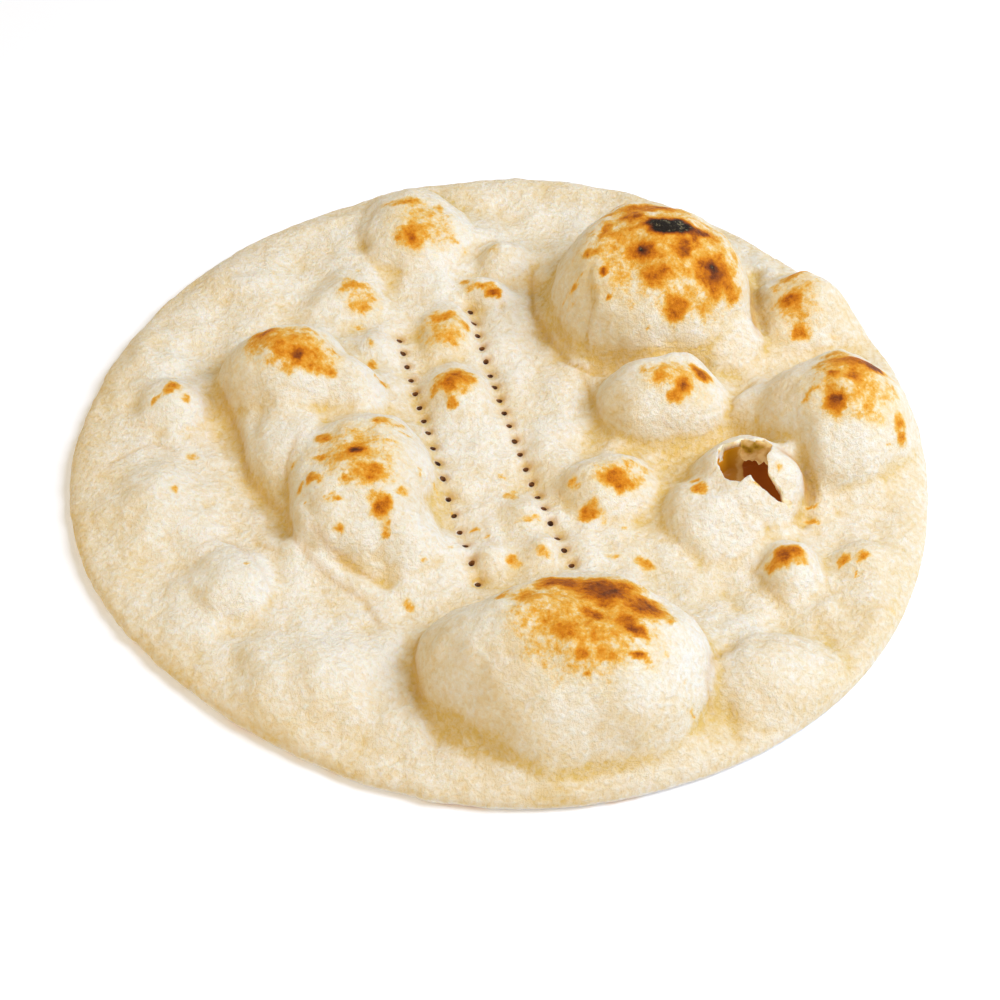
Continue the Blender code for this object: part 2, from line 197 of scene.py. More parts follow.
FOLDS = {
    "left foot of the left back dome and its ridge": Fold(
        ((-113, 31), (-108, 22), (-101, 4), (-97, -16), (-91, -24), (-85, -32), (-80, -39)),
        0.35, 1.6, 1.2, 0.35,
    ),
    "left edge of the left middle dome": Fold(
        ((-76, -2), (-81, -19), (-80, -40), (-76, -53), (-70, -61), (-60, -70), (-49, -79), (-41, -96)),
        0.3, 1.5, 1.0, 0.25,
    ),
    "inner crease of the left middle dome": Fold(
        ((-74, -47), (-68, -53), (-63, -58), (-51, -66), (-42, -70)), 0.3, 1.4, 0.5, 0.35,
    ),
    "fold in the valley under the left ridge": Fold(
        ((-93, -41), (-92, -49), (-86, -54), (-82, -60)), 0.3, 1.6, 0.6,
    ),
    "back of the left front bubble": Fold(
        ((-118, -59), (-113, -54), (-107, -50), (-100, -52), (-94, -60), (-89, -67), (-84, -79)),
        0.3, 1.6, -0.9,
    ),
    "back of the left low swelling": Fold(
        ((-151, -20), (-151, -10), (-144, -4), (-136, 1), (-129, -2), (-124, -10)), 0.3, 1.8, -0.8,
    ),
    "front of the left edge bump": Fold(((-143, 9), (-140, 4), (-136, 0)), 0.25, 1.6, 0.8),
    "back of the left edge bump": Fold(
        ((-142, 22), (-139, 27), (-134, 32), (-126, 30), (-119, 24), (-116, 12)), 0.25, 1.6, -0.8,
    ),
    "left of the back bubble": Fold(((-54, 105), (-57, 117), (-54, 131), (-49, 141)), 0.25, 1.6, -0.7),
    "round bump": Fold(((-12, 108), (-9, 116), (-3, 120), (5, 113), (10, 107)), 0.3, 1.4, -0.8),
    "left foot of the great dome": Fold(
        ((16, 106), (14, 97), (15, 75), (21, 61), (29, 46), (36, 42), (44, 41)), 0.4, 1.5, 1.3, 0.4,
    ),
    "lower left lobe of the great dome": Fold(((26, 70), (25, 61), (29, 52), (36, 47)), 0.3, 1.6, 1.0, 0.2),
    "front fold of the great dome": Fold(((41, 46), (46, 44), (52, 43), (64, 42), (71, 43)), 0.3, 1.3, 0.9),
    "right foot of the great dome": Fold(((105, 96), (105, 77), (105, 58), (107, 54)), 0.4, 1.5, 0.8, 0.9),
    "sunken side of the great dome": Fold(
        ((39, 73), (37, 64), (39, 57), (36, 51), (38, 43)), 0.65, 1.4, 2.0,
    ),
    "first wrinkle of the sunken side": Fold(((38, 62), (41, 61), (45, 59), (47, 55)), -1.6, 1.5, 0.0, 0.0),
    "second wrinkle of the sunken side": Fold(((38, 54), (42, 53), (45, 50), (46, 46)), -1.6, 1.5, 0.0, 0.0),
    "third wrinkle of the sunken side": Fold(((39, 69), (42, 66), (44, 62)), -1.4, 1.4, 0.0, 0.0),
    "left of the bubble before the great dome": Fold(
        ((33, 43), (36, 34), (38, 22), (42, 6)), 0.4, 1.5, 0.9, 0.3,
    ),
    "right of the bubble before the great dome": Fold(((86, 12), (92, 15), (100, 19)), 0.3, 1.5, 0.5),
    "left fold of the right dome": Fold(((90, 8), (94, 20), (101, 31), (110, 36)), 0.35, 1.6, -0.8),
    "right of the torn blister": Fold(
        ((105, -11), (109, -16), (114, -18), (117, -21), (118, -26), (116, -33)), 0.45, 2.0, -0.9, 1.0,
    ),
    "left of the torn blister": Fold(
        ((85, -34), (88, -38), (91, -43), (94, -48), (95, -53)), 0.35, 1.4, -0.9,
    ),
    "first ridge before the tear": Fold(((112, -38), (118, -33), (124, -32)), -1.2, 1.8, 0.0),
    "second ridge before the tear": Fold(((113, -45), (120, -40), (126, -38)), -1.2, 1.8, 0.0),
    "back of the middle right bump": Fold(((23, -33), (25, -24), (31, -19), (39, -15)), 0.3, 1.5, -0.8),
    "back of the right front bump": Fold(((94, -72), (96, -64), (101, -59), (108, -57)), 0.3, 1.4, -0.8),
    "crease of the right front": Fold(((92, -54), (99, -70), (104, -79), (111, -86)), 0.3, 1.8, 0.5),
    "back of the front right bubble": Fold(((88, -107), (97, -106), (108, -108)), 0.25, 1.5, -0.7),
    "left of the front right bubble": Fold(
        ((88, -107), (81, -108), (77, -114), (74, -125), (75, -131), (80, -136)), 0.4, 1.5, 1.0, 0.35,
    ),
    "left foot of the front dome": Fold(
        ((-27, -96), (-29, -103), (-30, -113), (-29, -122), (-25, -132)), 0.4, 1.5, 1.0, 0.45,
    ),
    "left of the strip's front bump": Fold(((-6, -23), (-6, -35), (-4, -46), (0, -57)), 0.25, 1.6, 0.6),
    "first wrinkle of the front dome": Fold(((-3, -124), (0, -131), (6, -136), (14, -139)), -0.7, 1.5, 0.0),
    "second wrinkle of the front dome": Fold(((-7, -128), (-3, -134), (3, -139)), -0.8, 1.4, 0.0),
    "dent of the front dome": Fold(((-1, -125), (4, -131), (10, -134)), 1.0, 3.2, 0.0),
}
LIP_START = 0.5
LIP_FADE = 4.0
SHADE_TINT_SHIFT = 0.3
FOLD_TAPER = 9 * MM


def offset_from_path(x, y, points):
    """Distance from each place to a path through points in millimetres, with a minus on its right."""
    nearest = np.full_like(x, np.inf)
    for (x0, y0), (x1, y1) in zip(points, points[1:]):
        run_x, run_y = (x1 - x0) * MM, (y1 - y0) * MM
        share = ((x - x0 * MM) * run_x + (y - y0 * MM) * run_y) / (run_x**2 + run_y**2)
        share = np.clip(share, 0.0, 1.0)
        off_x, off_y = x - x0 * MM - share * run_x, y - y0 * MM - share * run_y
        offset = np.hypot(off_x, off_y) * np.where(run_x * off_y < run_y * off_x, -1.0, 1.0)
        nearest = np.where(np.abs(offset) < np.abs(nearest), offset, nearest)
    return nearest


def fold_relief(x, y):
    """How far the fine folds lift the skin at each place, and how much painted shade they lay on it, from 0
    to 1.
    """
    lift, tint = np.zeros_like(x), np.zeros_like(x)
    for fold in FOLDS.values():
        near = offset_from_path(x, y, fold.points) / (fold.half_width * MM)
        over = near * math.copysign(1.0, fold.lip)
        lip = abs(fold.lip) * smooth_step(over + LIP_START) * np.exp(-np.maximum(over, 0.0) / LIP_FADE)
        ends = (fold.points[0], fold.points[-1])
        from_ends = [np.hypot(x - end_x * MM, y - end_y * MM) for end_x, end_y in ends]
        taper = smooth_step(np.minimum(*from_ends) / FOLD_TAPER)
        lift += (lip - fold.depth * np.exp(-near**2)) * taper * MM
        tint = np.maximum(tint, fold.tint * np.exp(-((over + SHADE_TINT_SHIFT) ** 2)) * taper)
    return lift, tint


# Prick rows
# A spiked roller runs over the raw dough twice, so that the strip between its rows stays flat. Each spike
# leaves a hole about 2 mm wide in a small funnel, and its bottom dries to a dark brown.
PrickRow = namedtuple("PrickRow", "start middle end count")
PRICK_ROWS = (
    PrickRow((-41, 63), (-26, 0), (-8, -69), 17),
    PrickRow((-12, 80), (5, 9), (27, -63), 20),
)
PRICK_DEPTH = 3.5 * MM
PRICK_TIP_RADIUS = 0.5 * MM
PRICK_TOP_RADIUS = 1.8 * MM
PRICK_SIDES = 12
PRICK_GROOVE_DEPTH = 2.2 * MM
PRICK_GROOVE_HALF_WIDTH = 4.5 * MM
FUNNEL_DEPTH = 1.0 * MM
FUNNEL_RADIUS = 2.4 * MM
# Gold is painted as shade on each funnel's wall, up and to the right of its hole
FUNNEL_SHADE_LEAN = 0.7 * MM
FUNNEL_SHADE_RADIUS = 1.9 * MM


def prick_places(row):
    """Evenly spaced places along a gently bent row of prick holes."""
    (x0, y0), (x1, y1), (x2, y2) = row.start, row.middle, row.end
    for share in np.linspace(0.0, 1.0, row.count):
        first, second = (1 - share) * (1 - 2 * share), 4 * share * (1 - share)
        third = share * (2 * share - 1)
        yield (first * x0 + second * x1 + third * x2) * MM, (first * y0 + second * y1 + third * y2) * MM


def dough_height(x, y, swells, wander, pinched):
    """Height of the top of the baked bread at each place, given its unevenness there."""
    pole_x, pole_y = outline_pole()
    from_pole_x, from_pole_y = x - pole_x, y - pole_y
    edge = outline_radius(np.arctan2(from_pole_y, from_pole_x))
    from_edge = np.maximum(edge - np.hypot(from_pole_x, from_pole_y), 0.0)
    edge_roll = np.sqrt(1.0 - np.clip(1.0 - from_edge / EDGE_ROUND, 0.0, 1.0) ** 2)
    sheet = EDGE_HEIGHT + (SHEET_THICKNESS - EDGE_HEIGHT) * edge_roll
    fade = smooth_step(from_edge / BLISTER_EDGE_FADE)

    # The highest blister rules where they meet, and its foot is pinched where no other covers it
    rises = [blister_rise(x + wander[0], y + wander[1], blister) for blister in BLISTERS.values()]
    ruled = sum(rise**BLISTER_MEETING for rise, foot in rises) ** (1.0 / BLISTER_MEETING)
    feet = np.zeros_like(x)
    for rise, foot in rises:
        feet = np.maximum(feet, foot * smooth_step(1.0 - (ruled - rise) / FOOT_COVER))
    blister_fade = np.sqrt(1.0 - np.clip(1.0 - from_edge / BLISTER_EDGE_FADE, 0.0, 1.0) ** 2)
    lift = MM * (ruled - FOOT_DEPTH * feet * pinched) * blister_fade + swells * fade

    for crease in CREASES.values():
        near = offset_from_path(x, y, crease.points) / (crease.half_width * MM)
        lift -= crease.depth * MM * np.exp(-near**2) * fade
    for row in PRICK_ROWS:
        near = offset_from_path(x, y, (row.start, row.middle, row.end)) / PRICK_GROOVE_HALF_WIDTH
        lift -= PRICK_GROOVE_DEPTH * np.exp(-near**2)
        for place_x, place_y in prick_places(row):
            near = np.hypot(x - place_x, y - place_y) / FUNNEL_RADIUS
            lift -= FUNNEL_DEPTH * np.exp(-near**2)
    return np.maximum(sheet + lift, EDGE_HEIGHT + (THINNEST_SHEET - EDGE_HEIGHT) * fade)


def even_out(x, y, height):
    """Slide the inner points of a grid along the surface, towards where its cells are stretched."""
    step = [np.diff(values, axis=axis) for axis in (0, 1) for values in (x, y, height)]
    length_0 = np.sqrt(step[0] ** 2 + step[1] ** 2 + step[2] ** 2)
    length_1 = np.sqrt(step[3] ** 2 + step[4] ** 2 + step[5] ** 2)
    pulls = (length_0[:-1, 1:-1], length_0[1:, 1:-1], length_1[1:-1, :-1], length_1[1:-1, 1:])
    for values in (x, y):
        sides = (values[:-2, 1:-1], values[2:, 1:-1], values[1:-1, :-2], values[1:-1, 2:])
        drawn = sum(pull * side for pull, side in zip(pulls, sides)) / sum(pulls)
        values[1:-1, 1:-1] += EVENING * (drawn - values[1:-1, 1:-1])


def soften(values):
    """Draw each inner point of a grid halfway to the middle of its neighbours."""
    around = values[:-2, 1:-1] + values[2:, 1:-1] + values[1:-1, :-2] + values[1:-1, 2:]
    values[1:-1, 1:-1] = (values[1:-1, 1:-1] + around / 4) / 2


def puffed_dough(x, y):
    """Where each point of a grid on the dough disc ends up on the baked bread, and the painted shade of its
    folds.
    """
    swells = sum(height * waviness(x, y, length, layer) for length, height, layer in SHEET_SWELLS)
    wander = [OUTLINE_WANDER * waviness(x, y, WANDER_LENGTH, layer) for layer in WANDER_LAYERS]
    pinched = smooth_step(FOOT_PINCH + FOOT_PINCH_CHANGE * waviness(x, y, FOOT_PATCHES, FOOT_LAYER))
    x, y = x.copy(), y.copy()
    for _ in range(EVENING_ROUNDS):
        even_out(x, y, dough_height(x, y, swells, wander, pinched))
    height = dough_height(x, y, swells, wander, pinched)
    for _ in range(SOFTENING_ROUNDS):
        for values in (x, y, height):
            soften(values)
    lift, tint = fold_relief(x, y)
    return np.stack((x, y, height + lift), axis=-1), tint


# Skin
# The skin of the crust isn't smooth: small gas bubbles lift it in pimples a few millimetres wide, and it is
# lumpy in between. The relief stands out along the surface, so it is the same on steep sides.
SKIN_LUMPS = ((12 * MM, 0.65 * MM, 21.0), (6.2 * MM, 0.42 * MM, 33.0), (3.2 * MM, 0.22 * MM, 47.0))
PIMPLE_SPACING = 11 * MM
PIMPLE_SHARE = 0.42
PIMPLE_RISE = 0.4 * MM
PIMPLE_LAYER = 3.7
RELIEF_EDGE_FADE = 6 * MM


def surface_normals(x, y, z):
    """Unit normals of a grid surface."""
    along = np.stack([np.gradient(values, axis=0) for values in (x, y, z)], axis=-1)
    across = np.stack([np.gradient(values, axis=1) for values in (x, y, z)], axis=-1)
    normal = np.cross(along, across)
    normal *= np.sign(normal[..., 2:3].mean())
    return normal / np.linalg.norm(normal, axis=-1, keepdims=True)


def skin_relief(places):
    """How far the skin stands out at each place."""
    relief = sum(height * noise_at(places, length, layer) for length, height, layer in SKIN_LUMPS)
    cells = (places / PIMPLE_SPACING + PIMPLE_LAYER).reshape(-1, 3)
    nearest = np.array([noise.voronoi(Vector(cell))[0][0] for cell in cells]).reshape(places.shape[:-1])
    return relief + PIMPLE_RISE * np.maximum(1.0 - (nearest / PIMPLE_SHARE) ** 2, 0.0)


# The closed body of the bread
# The top is a fine grid bent to the round outline. Its rim curls under in a few rows, and a coarser grid
# closes the underside, which dimples up between the places where it touches the oven floor.
UNDERSIDE_INSET = EDGE_TUCK + 2 * MM
UNDERSIDE_LIFT = 1.1 * MM
UNDERSIDE_ARCH = 0.5
UNDERSIDE_DIMPLES = 15 * MM
UNDERSIDE_LAYER = 61.0
UNDERSIDE_EDGE = 12 * MM

# Straw is painted on as shade near the rim, and in puckers, folds and whole valleys, which lie under the
# surface around them once it is smoothed over a few, some dozens or some hundreds of rounds
RIM_SHADE_REACH = 38 * MM
FOLD_SCALES = {"pucker": 6, "fold": 60, "valley": 700}

# The bake map shows the flat dough large, the underside small at its top right, and the cuts below that
MAP_REACH = 167.6 * MM
MAP_TOP_MIDDLE = Vector((0.43, 0.43))
MAP_TOP_SCALE = 0.405 / MAP_REACH
MAP_RIM_STEP = 1.008
MAP_UNDER_MIDDLE = Vector((0.857, 0.857))
MAP_UNDER_SCALE = 0.138 / MAP_REACH


def grid_on_disc(bm, cells, shrink):
    """Add a square grid to a mesh, and give its vertices with their x and y once bent to the outline."""
    made = bmesh.ops.create_grid(bm, x_segments=cells, y_segments=cells, size=1.0)["verts"]
    rows = cells + 1
    places = np.array([vert.co[:2] for vert in made]).reshape(rows, rows, 2)
    x, y = square_to_disc(places[..., 0], places[..., 1])
    edge = outline_radius(np.arctan2(y, x)) - shrink
    pole_x, pole_y = outline_pole()
    return made, pole_x + x * edge, pole_y + y * edge


def put_in_scene(name, data):
    """An object in the scene that shows a mesh, a light or a camera."""
    made = bpy.data.objects.new(name, data)
    bpy.context.scene.collection.objects.link(made)
    return made


def finished(name, bm):
    """Turn a finished bmesh into an object in the scene."""
    mesh = bpy.data.meshes.new(name)
    bm.to_mesh(mesh)
    bm.free()
    return put_in_scene(name, mesh)


def store(mesh, name, values):
    """Keep one number for each vertex of a mesh, for its material to read."""
    layer = mesh.attributes.new(name, "FLOAT", "POINT")
    layer.data.foreach_set("value", values.astype(np.float32))


def make_bread():
    """The whole bread before it is pricked and torn."""
    bm = bmesh.new()
    top, x, y = grid_on_disc(bm, TOP_CELLS, 0.0)
    from_edge = BREAD_RADIUS * (1.0 - np.hypot(x, y) / np.hypot(x, y).max())
    map_places = np.stack((x, y), axis=-1) * MAP_TOP_SCALE + np.array(MAP_TOP_MIDDLE)
    places, crease = puffed_dough(x, y)
    fade = smooth_step(from_edge / RELIEF_EDGE_FADE)[..., None]
    places += surface_normals(*np.moveaxis(places, -1, 0)) * skin_relief(places)[..., None] * fade

    smoothed = places[..., 2].copy()
    # Painted shade: straw in creases, at the rim, and in puckers, folds and valleys under their smoothed
    # surface
    shade_tints = {"crease": crease, "rim": 1.0 - smooth_step(from_edge / RIM_SHADE_REACH)}
    for round_number in range(1, max(FOLD_SCALES.values()) + 1):
        soften(smoothed)
        for name, rounds in FOLD_SCALES.items():
            if rounds == round_number:
                shade_tints[name] = (smoothed - places[..., 2]) / MM

    # The rim curls under from the grid's edge, and each of its rows lies a little further out on the map
    on_map = {}
    for vert, place, map_place in zip(top, places.reshape(-1, 3), map_places.reshape(-1, 2)):
        vert.co = place
        on_map[vert] = Vector(map_place)
    rim = [item for item in bm.edges if item.is_boundary]
    for row in range(1, EDGE_ROWS + 1):
        roll = row / EDGE_ROWS * math.pi / 2
        inset = EDGE_TUCK * (math.cos((row - 1) / EDGE_ROWS * math.pi / 2) - math.cos(roll))
        made = bmesh.ops.extrude_edge_only(bm, edges=rim)["geom"]
        rim = [item for item in made if isinstance(item, bmesh.types.BMEdge)]
        verts = [item for item in made if isinstance(item, bmesh.types.BMVert)]
        neighbours = [[edge.other_vert(vert) for edge in vert.link_edges] for vert in verts]
        above = [next(item for item in around if item in on_map) for around in neighbours]
        for vert, source in zip(verts, above):
            on_map[vert] = MAP_TOP_MIDDLE + (on_map[source] - MAP_TOP_MIDDLE) * MAP_RIM_STEP
            inwards = Vector((vert.co.x, vert.co.y, 0.0)).normalized() * inset
            vert.co = (vert.co.x - inwards.x, vert.co.y - inwards.y, EDGE_HEIGHT * (1.0 - math.sin(roll)))

    before = set(bm.edges)
    under, x, y = grid_on_disc(bm, UNDERSIDE_CELLS, UNDERSIDE_INSET)
    dimples = UNDERSIDE_LIFT * (UNDERSIDE_ARCH + waviness(x, y, UNDERSIDE_DIMPLES, UNDERSIDE_LAYER))
    from_edge = BREAD_RADIUS * (1.0 - np.hypot(x, y) / np.hypot(x, y).max())
    dimples = np.maximum(dimples, 0.0) * smooth_step(from_edge / UNDERSIDE_EDGE)
    for vert, place in zip(under, np.stack((x, y, dimples), axis=-1).reshape(-1, 3)):
        vert.co = place
    inner_rim = [item for item in bm.edges if item.is_boundary and item not in before]
    bmesh.ops.bridge_loops(bm, edges=rim + inner_rim)
    bmesh.ops.recalc_face_normals(bm, faces=bm.faces)
    bake_map = bm.loops.layers.uv.new("OFBake")
    for face in bm.faces:
        is_top = all(vert in on_map for vert in face.verts)
        for loop in face.loops:
            under_place = loop.vert.co.xy * MAP_UNDER_SCALE + MAP_UNDER_MIDDLE
            loop[bake_map].uv = on_map[loop.vert] if is_top else under_place

    bread = finished("naan_bread", bm)
    for name, values in shade_tints.items():
        beyond_the_top = np.zeros(len(bread.data.vertices) - values.size)
        store(bread.data, name, np.concatenate((values.reshape(-1), beyond_the_top)))
    return bread


naan = make_bread()


# Torn blister
# One blister burst in the oven: its skin, about a millimetre thick, tore along a ragged line, and you look
# into the steamed hollow under it, whose walls are amber and whose floor is a painted shade of dark
# red-brown.
OVER_THE_BREAD = 200 * MM
SKIN = 1.1 * MM
HOLLOW_MIDDLE = (99, -24)
HOLLOW_HALF_SIZES = (20, 17)
HOLLOW_FULLNESS = 0.35
HOLLOW_FLOOR = 5.0 * MM
HOLLOW_FLOOR_DIP = 3.0 * MM
HOLLOW_DRAW_IN = 0.06
HOLLOW_LUMPS = ((1.1, 0.12), (3.1, 0.07), (7.3, 0.03))
TEAR_EDGE = (
    (84, -15), (86, -12), (90, -13), (94, -11), (98, -12), (102, -11), (105, -13), (104, -18),
    (102, -22), (102, -28), (105, -32), (107, -33), (108, -35), (111, -35), (113, -38), (109, -37),
    (105, -37), (101, -36), (98, -34), (95, -31), (91, -33), (88, -32), (85, -29), (83, -22),
)
TEAR_STEPS = 5
TEAR_RAGGEDNESS = ((3.0 * MM, 0.55 * MM), (1.1 * MM, 0.25 * MM))
TEAR_LAYERS = (5.3, 9.7)
TEAR_BOTTOM = 14 * MM
TEAR_TOP = 45 * MM
SCRAP_LEFT = (93, -11.2)
SCRAP_RIGHT = (105, -13)
SCRAP_COLUMNS = 15
SCRAP_ROWS = 9
SCRAP_LENGTH = 11.5 * MM
SCRAP_SIDE = 0.7
SCRAP_SWING = 1.2 * MM
SCRAP_WAVE = 0.8 * MM
SCRAP_HALF_WAVES = 3
SCRAP_THICKNESS = 0.6 * MM
SCRAP_RAGGEDNESS = 0.5
SCRAP_RAGGED_RATE = 5.0
SCRAP_LAYER = 2.7
MAP_CELL = 0.042
MAP_CELL_GAP = 0.06
MAP_HOLLOW = (0.87, 0.01)
MAP_TEAR = (0.87, 0.12)
MAP_PINS = (0.87, 0.23)
MAP_SCRAP = (0.87, 0.34)


def over_skin(x, y):
    """The place on the top skin straight over a point of the sheet."""
    return naan.ray_cast(Vector((x, y, OVER_THE_BREAD)), Vector((0, 0, -1)))[1]


def lay_on_map(bm, faces, corner):
    """Put faces on the bake map from a corner on, in a cell for each of the six ways that they can face."""
    bake_map = bm.loops.layers.uv.get("OFBake") or bm.loops.layers.uv.new("OFBake")
    bm.normal_update()
    corners = np.array([vert.co for face in faces for vert in face.verts])
    least, size = corners.min(axis=0), np.ptp(corners, axis=0)
    for face in faces:
        axis = max(range(3), key=lambda index: abs(face.normal[index]))
        across, along = [index for index in range(3) if index != axis]
        for loop in face.loops:
            share = MAP_CELL_GAP + (1 - 2 * MAP_CELL_GAP) * (np.array(loop.vert.co) - least) / size
            u = corner[0] + MAP_CELL * (axis + share[across])
            v = corner[1] + MAP_CELL * ((face.normal[axis] > 0) + share[along])
            loop[bake_map].uv = (u, v)


def make_hollow():
    """The air space inside the torn blister, a lumpy bubble that follows the skin from beneath."""
    middle_x, middle_y = HOLLOW_MIDDLE
    half_x, half_y = HOLLOW_HALF_SIZES
    middle_z = HOLLOW_FLOOR + HOLLOW_FLOOR_DIP
    bm = bmesh.new()
    bmesh.ops.create_icosphere(bm, subdivisions=5, radius=1.0)
    for vert in bm.verts:
        way = vert.co.copy()
        reach = 1.0 + sum(height * noise.noise(way * rate) for rate, height in HOLLOW_LUMPS)
        x = (middle_x + way.x * reach * half_x) * MM
        y = (middle_y + way.y * reach * half_y) * MM
        roof = max(over_skin(x, y).z - SKIN, middle_z + HOLLOW_FLOOR_DIP)
        rise = math.copysign(abs(way.z) ** HOLLOW_FULLNESS, way.z) * reach
        z = middle_z + rise * (roof - middle_z if way.z > 0 else HOLLOW_FLOOR_DIP)
        x += (middle_x * MM - x) * HOLLOW_DRAW_IN
        y += (middle_y * MM - y) * HOLLOW_DRAW_IN
        vert.co = Vector((x, y, min(z, roof)))
    lay_on_map(bm, bm.faces, MAP_HOLLOW)
    return finished("hollow", bm)


def make_tear():
    """The ragged opening in the skin of the torn blister, cut straight down."""
    corners = np.array(TEAR_EDGE, dtype=float) * MM
    shares = np.linspace(0.0, 1.0, TEAR_STEPS, endpoint=False)[:, None]
    steps = [start + shares * (end - start) for start, end in zip(corners, np.roll(corners, -1, axis=0))]
    edge = np.concatenate(steps)
    flat = np.column_stack((edge, np.zeros(len(edge))))
    for length, height in TEAR_RAGGEDNESS:
        edge[:, 0] += height * noise_at(flat, length, TEAR_LAYERS[0])
        edge[:, 1] += height * noise_at(flat, length, TEAR_LAYERS[1])
    bm = bmesh.new()
    bottom = bm.faces.new([bm.verts.new((x, y, TEAR_BOTTOM)) for x, y in edge])
    made = bmesh.ops.extrude_face_region(bm, geom=[bottom])["geom"]
    raised = [item for item in made if isinstance(item, bmesh.types.BMVert)]
    bmesh.ops.translate(bm, vec=(0, 0, TEAR_TOP - TEAR_BOTTOM), verts=raised)
    bmesh.ops.recalc_face_normals(bm, faces=bm.faces)
    lay_on_map(bm, bm.faces, MAP_TEAR)
    return finished("tear", bm)


def make_pins():
    """The spikes of the roller, one pointed pin for each prick hole."""
    bm = bmesh.new()
    for row in PRICK_ROWS:
        for x, y in prick_places(row):
            made = bmesh.ops.create_cone(
                bm, cap_ends=True, segments=PRICK_SIDES, radius1=PRICK_TIP_RADIUS, radius2=PRICK_TOP_RADIUS,
                depth=2 * PRICK_DEPTH,
            )
            bmesh.ops.translate(bm, vec=over_skin(x, y), verts=made["verts"])
            lay_on_map(bm, {face for vert in made["verts"] for face in vert.link_faces}, MAP_PINS)
    return finished("pins", bm)


def make_scrap():
    """The scrap of skin that hangs into the tear from its back edge."""
    bm = bmesh.new()
    grid = []
    for across in np.linspace(0.0, 1.0, SCRAP_COLUMNS):
        x = SCRAP_LEFT[0] + across * (SCRAP_RIGHT[0] - SCRAP_LEFT[0])
        y = SCRAP_LEFT[1] + across * (SCRAP_RIGHT[1] - SCRAP_LEFT[1])
        top = over_skin(x * MM, y * MM)
        ragged = 1.0 + SCRAP_RAGGEDNESS * noise.noise(Vector((across * SCRAP_RAGGED_RATE, SCRAP_LAYER, 0.0)))
        length = SCRAP_LENGTH * ragged * (SCRAP_SIDE + (1.0 - SCRAP_SIDE) * math.sin(math.pi * across))
        for down in np.linspace(0.0, 1.0, SCRAP_ROWS):
            wave = SCRAP_WAVE * math.sin(SCRAP_HALF_WAVES * math.pi * across) * down
            swing = SCRAP_SWING * math.sin(math.pi * down) + wave
            grid.append(bm.verts.new((top.x, top.y - swing, top.z - SKIN / 2 - down * length)))
    for column in range(SCRAP_COLUMNS - 1):
        for row in range(SCRAP_ROWS - 1):
            first = column * SCRAP_ROWS + row
            corners = (first, first + 1, first + 1 + SCRAP_ROWS, first + SCRAP_ROWS)
            bm.faces.new([grid[corner] for corner in corners])
    bmesh.ops.solidify(bm, geom=bm.faces[:], thickness=SCRAP_THICKNESS)
    bmesh.ops.recalc_face_normals(bm, faces=bm.faces)
    lay_on_map(bm, bm.faces, MAP_SCRAP)
    return finished("scrap", bm)


def srgb(hex_code):
    """Linear colour of an sRGB hex code."""
    parts = [int(hex_code[index:index + 2], 16) / 255 for index in (1, 3, 5)]
    return (*(part / 12.92 if part <= 0.04045 else ((part + 0.055) / 1.055) ** 2.4 for part in parts), 1.0)


def add(tree, kind, inputs, **settings):
    """Add a shader node, set it up, and give each input its value or the socket that feeds it."""
    made = tree.nodes.new("ShaderNode" + kind)
    for name, value in settings.items():
        setattr(made, name, value)
    for name, value in inputs.items():
        if isinstance(value, bpy.types.NodeSocket):
            tree.links.new(value, made.inputs[name])
        else:
            made.inputs[name].default_value = value
    return made


def fill_ramp(ramp, colours):
    """Give a colour ramp its places and colours, in place of the two that it comes with."""
    elements = ramp.color_ramp.elements
    elements.remove(elements[1])
    elements[0].position, elements[0].color = colours[0][0], srgb(colours[0][1])
    for place, colour in colours[1:]:
        elements.new(place).color = srgb(colour)


def new_material(name, inputs):
    """A material whose shader has some inputs set, with its tree and its shader."""
    made = bpy.data.materials.new(name)
    made.use_nodes = True
    tree = made.node_tree
    tree.nodes.clear()
    shader = add(tree, "BsdfPrincipled", inputs)
    add(tree, "OutputMaterial", {"Surface": shader.outputs["BSDF"]})
    return made, tree, shader


def mottled_material(name, inputs, patch_size, detail, colours):
    """A material with soft patches of a real size, with its shader and the socket that gives its colour."""
    made, tree, shader = new_material(name, inputs)
    at = add(tree, "TexCoord", {}).outputs["Object"]
    patches = add(tree, "TexNoise", {"Vector": at, "Scale": 1 / patch_size, "Detail": detail})
    ramp = add(tree, "ValToRGB", {"Fac": patches.outputs["Fac"]})
    fill_ramp(ramp, colours)
    tree.links.new(ramp.outputs["Color"], shader.inputs["Base Color"])
    return made, shader, ramp.outputs["Color"]


# Inside of the torn blister: crumb that steam has cooked like the skin of a dumpling. Its left wall is an
# amber membrane painted as lit, which ends in a tan edge, and the floor behind it is a dark red-brown
# painted shade, darker lower down. Light comes through the thin skin over it, and a painted glow in its own
# colour stands in for it.
INSIDE_LEFT = 84 * MM
INSIDE_RIGHT = 108 * MM
INSIDE_DEEP = 7 * MM
INSIDE_HIGH = 19 * MM
INSIDE_PATCHES = 5 * MM
INSIDE_WANDER = 0.3
INSIDE_SHADE = srgb("#6A3208")
INSIDE_LIT_AND_SHADED_COLOURS = (
    (0.0, "#CF8F1E"), (0.26, "#A8760F"), (0.36, "#A87A22"), (0.42, "#CBAA66"), (0.50, "#C39A50"),
    (0.54, "#7C3E10"), (0.75, "#74350C"), (1.0, "#86450F"),
)
